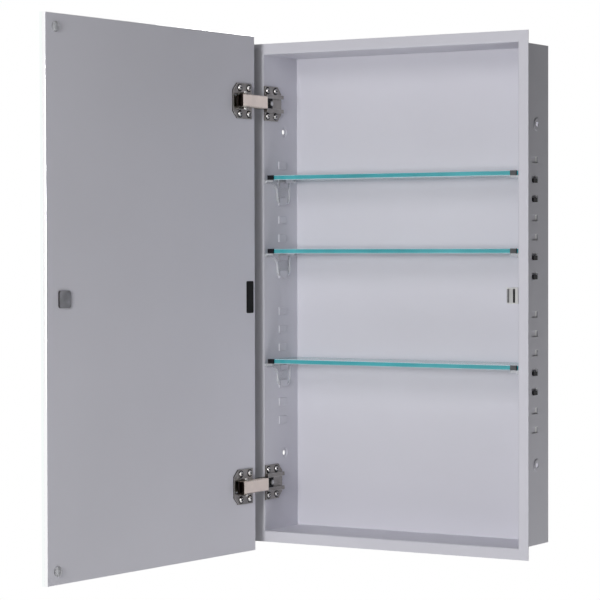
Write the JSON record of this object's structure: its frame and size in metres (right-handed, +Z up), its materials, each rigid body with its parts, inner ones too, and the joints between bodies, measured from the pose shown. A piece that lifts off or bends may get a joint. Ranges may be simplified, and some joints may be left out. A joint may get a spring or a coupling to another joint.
{
  "type": "medicine cabinet",
  "caption": "Recessed steel medicine cabinet with an overlay mirror door on concealed hinges, adjustable glass shelves and a magnetic catch.",
  "frame": {"origin": "centre of the flange's face that lies on the wall", "axes": "+X right as seen by the user, +Y into the wall, +Z up; the door faces -Y when shut"},
  "size_m": [0.4089, 0.5182, 0.6604],
  "materials": {
    "white_paint": "baked white enamel, satin",
    "mirror": "silvered float glass with a polished edge",
    "shelf_glass": "clear float glass with a blue-green polished edge",
    "clear_plastic": "clear moulded plastic",
    "clear_bumper": "clear soft dome",
    "nickel_plate": "nickel plated, dull",
    "nickel_arm": "nickel plated, warm",
    "dark_steel": "blackened steel",
    "bright_steel": "turned steel",
    "catch_plastic": "pale moulded plastic",
    "magnet": "magnet coated in pale resin",
    "pole_steel": "dark steel",
    "bond_foam": "foam mounting tape"
  },
  "bodies": {
    "cabinet": {"body_wrap": "white_paint", "left_side_panel": "white_paint", "right_side_panel": "white_paint", "catch_housing": "catch_plastic", "catch_magnet": "magnet", "catch_left_pole": "pole_steel", "catch_right_pole": "pole_steel", "upper_left_shelf_bracket": "clear_plastic", "upper_right_shelf_bracket": "clear_plastic", "middle_left_shelf_bracket": "clear_plastic", "middle_right_shelf_bracket": "clear_plastic", "lower_left_shelf_bracket": "clear_plastic", "lower_right_shelf_bracket": "clear_plastic", "upper_hinge_wall_plate": "nickel_plate", "lower_hinge_wall_plate": "nickel_plate"},
    "hinge_arms": {"upper_hinge_arm": "nickel_arm", "upper_hinge_slide": "dark_steel", "upper_hinge_stop_pin": "bright_steel", "lower_hinge_arm": "nickel_arm", "lower_hinge_slide": "dark_steel", "lower_hinge_stop_pin": "bright_steel"},
    "door": {"mirror_glass": "mirror", "door_back_panel": "white_paint", "hinge_side_bond_strip": "bond_foam", "middle_bond_strip": "bond_foam", "free_side_bond_strip": "bond_foam", "strike_plate": "nickel_plate", "upper_hinge_door_plate": "nickel_plate", "upper_hinge_pivot_pin": "bright_steel", "lower_hinge_door_plate": "nickel_plate", "lower_hinge_pivot_pin": "bright_steel", "upper_door_bumper": "clear_bumper", "lower_door_bumper": "clear_bumper"},
    "upper_shelf": {"upper_glass_shelf": "shelf_glass"},
    "middle_shelf": {"middle_glass_shelf": "shelf_glass"},
    "lower_shelf": {"lower_glass_shelf": "shelf_glass"}
  },
  "joints": [
    {"name": "arm_slide", "type": "slide", "parent": "cabinet", "child": "hinge_arms", "axis": [0, -1, 0], "range_m": [-0.064, 0]},
    {"name": "door_swing", "type": "hinge", "parent": "hinge_arms", "child": "door", "pos_m": [-0.1718, -0.0619, 0], "axis": [0, 0, -1], "range_deg": [-93.5, 0]},
    {"name": "upper_shelf_lift", "type": "slide", "parent": "cabinet", "child": "upper_shelf", "axis": [0, 0, 1], "range_m": [0, 0.015]},
    {"name": "middle_shelf_lift", "type": "slide", "parent": "cabinet", "child": "middle_shelf", "axis": [0, 0, 1], "range_m": [0, 0.015]},
    {"name": "lower_shelf_lift", "type": "slide", "parent": "cabinet", "child": "lower_shelf", "axis": [0, 0, 1], "range_m": [0, 0.015]}
  ],
  "couplings": [
    {"joint": "arm_slide", "follows": "door_swing", "m_per_rad": 0.039219}
  ]
}
